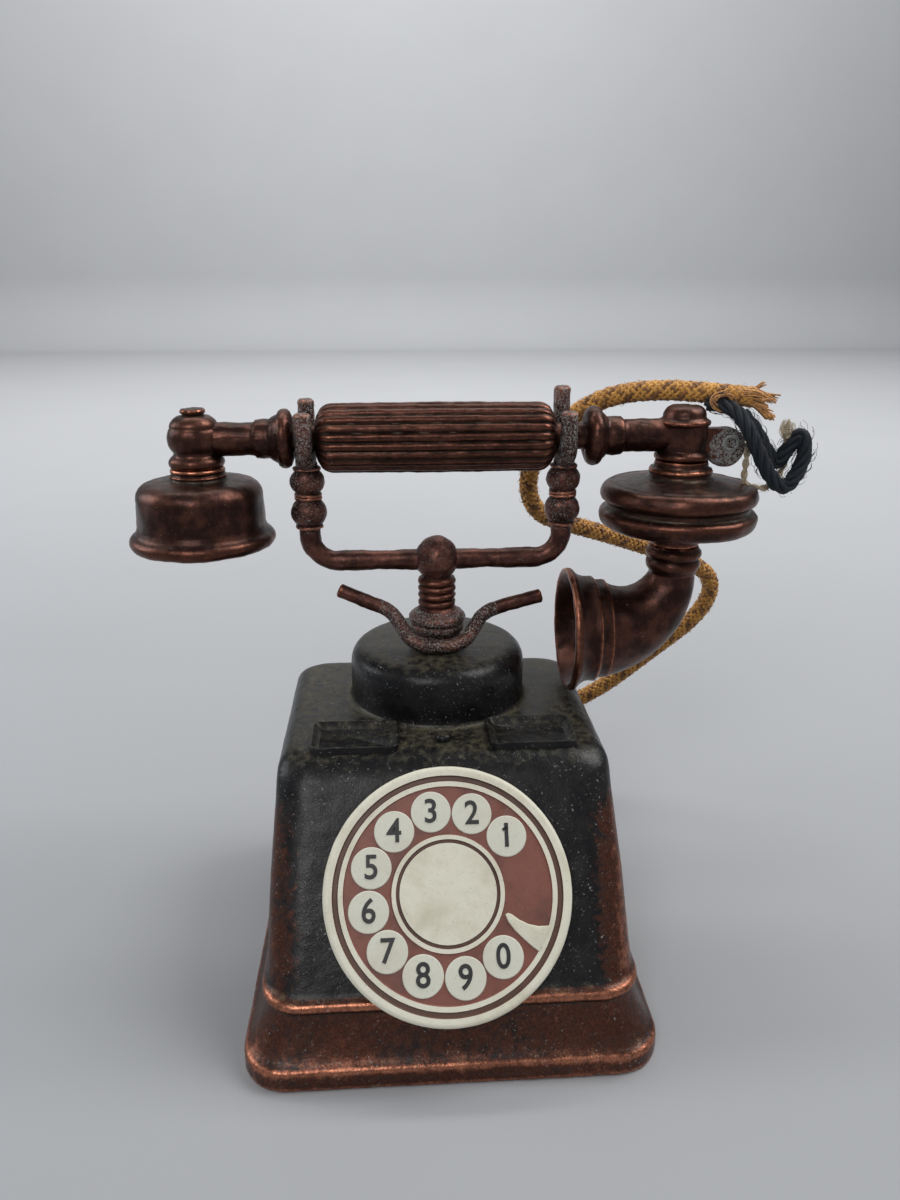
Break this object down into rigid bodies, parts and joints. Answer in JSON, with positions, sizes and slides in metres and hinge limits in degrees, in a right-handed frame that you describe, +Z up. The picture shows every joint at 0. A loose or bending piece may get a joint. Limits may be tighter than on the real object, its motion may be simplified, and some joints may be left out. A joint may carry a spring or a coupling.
{
  "type": "miniature desk telephone",
  "caption": "Miniature antique desk telephone: tapered base, sloping round dial, forked cradle, handset with bell earpiece and curved horn, braided cord.",
  "frame": {"origin": "centre of the base's underside", "axes": "+X along the handset from the earpiece to the mouthpiece, +Y from the dial to the back wall, +Z up"},
  "size_m": [0.0828, 0.0629, 0.0699],
  "materials": {
    "black_casting": "worn black enamel over copper-coloured zinc",
    "bronzed_casting": "dark antique copper plate on zinc, rubbed bright on the high spots",
    "black_plastic": "moulded, fine texture",
    "cream_plastic": "moulded, printed brown ring and numbers",
    "sharpener_metal": "milled",
    "steel": "satin",
    "gold_braid": "braided rayon sleeve",
    "navy_yarn": "twisted yarn, fuzzy",
    "cream_thread": "twisted thread"
  },
  "bodies": {
    "base": {"base_shell": "black_casting", "base_plate": "black_plastic", "sharpener_block": "sharpener_metal", "sharpener_blade": "steel", "blade_screw": "steel", "cradle": "bronzed_casting", "cradle_washer": "steel", "hook_lever": "bronzed_casting", "cord_sleeve": "gold_braid", "cord_stop_knot": "gold_braid"},
    "dial": {"dial_disc": "cream_plastic", "dial_clip": "steel"},
    "handset": {"handset_handle": "bronzed_casting", "earpiece_cup": "bronzed_casting", "earpiece_rivet": "bronzed_casting", "mouthpiece_capsule": "bronzed_casting", "mouthpiece_horn": "bronzed_casting", "mouthpiece_rivet": "bronzed_casting", "tie_yarn": "navy_yarn", "white_thread": "cream_thread"}
  },
  "joints": [
    {"name": "dial_spin", "type": "hinge", "parent": "base", "child": "dial", "pos_m": [-0.0003, -0.01629, 0.0179], "axis": [0, -0.8339, 0.5519], "continuous": true},
    {"name": "handset_rock", "type": "hinge", "parent": "base", "child": "handset", "pos_m": [0, 0.0098, 0.0637], "axis": [-1, 0, 0], "range_deg": [0, 35], "deforming": ["cord_sleeve"]}
  ]
}
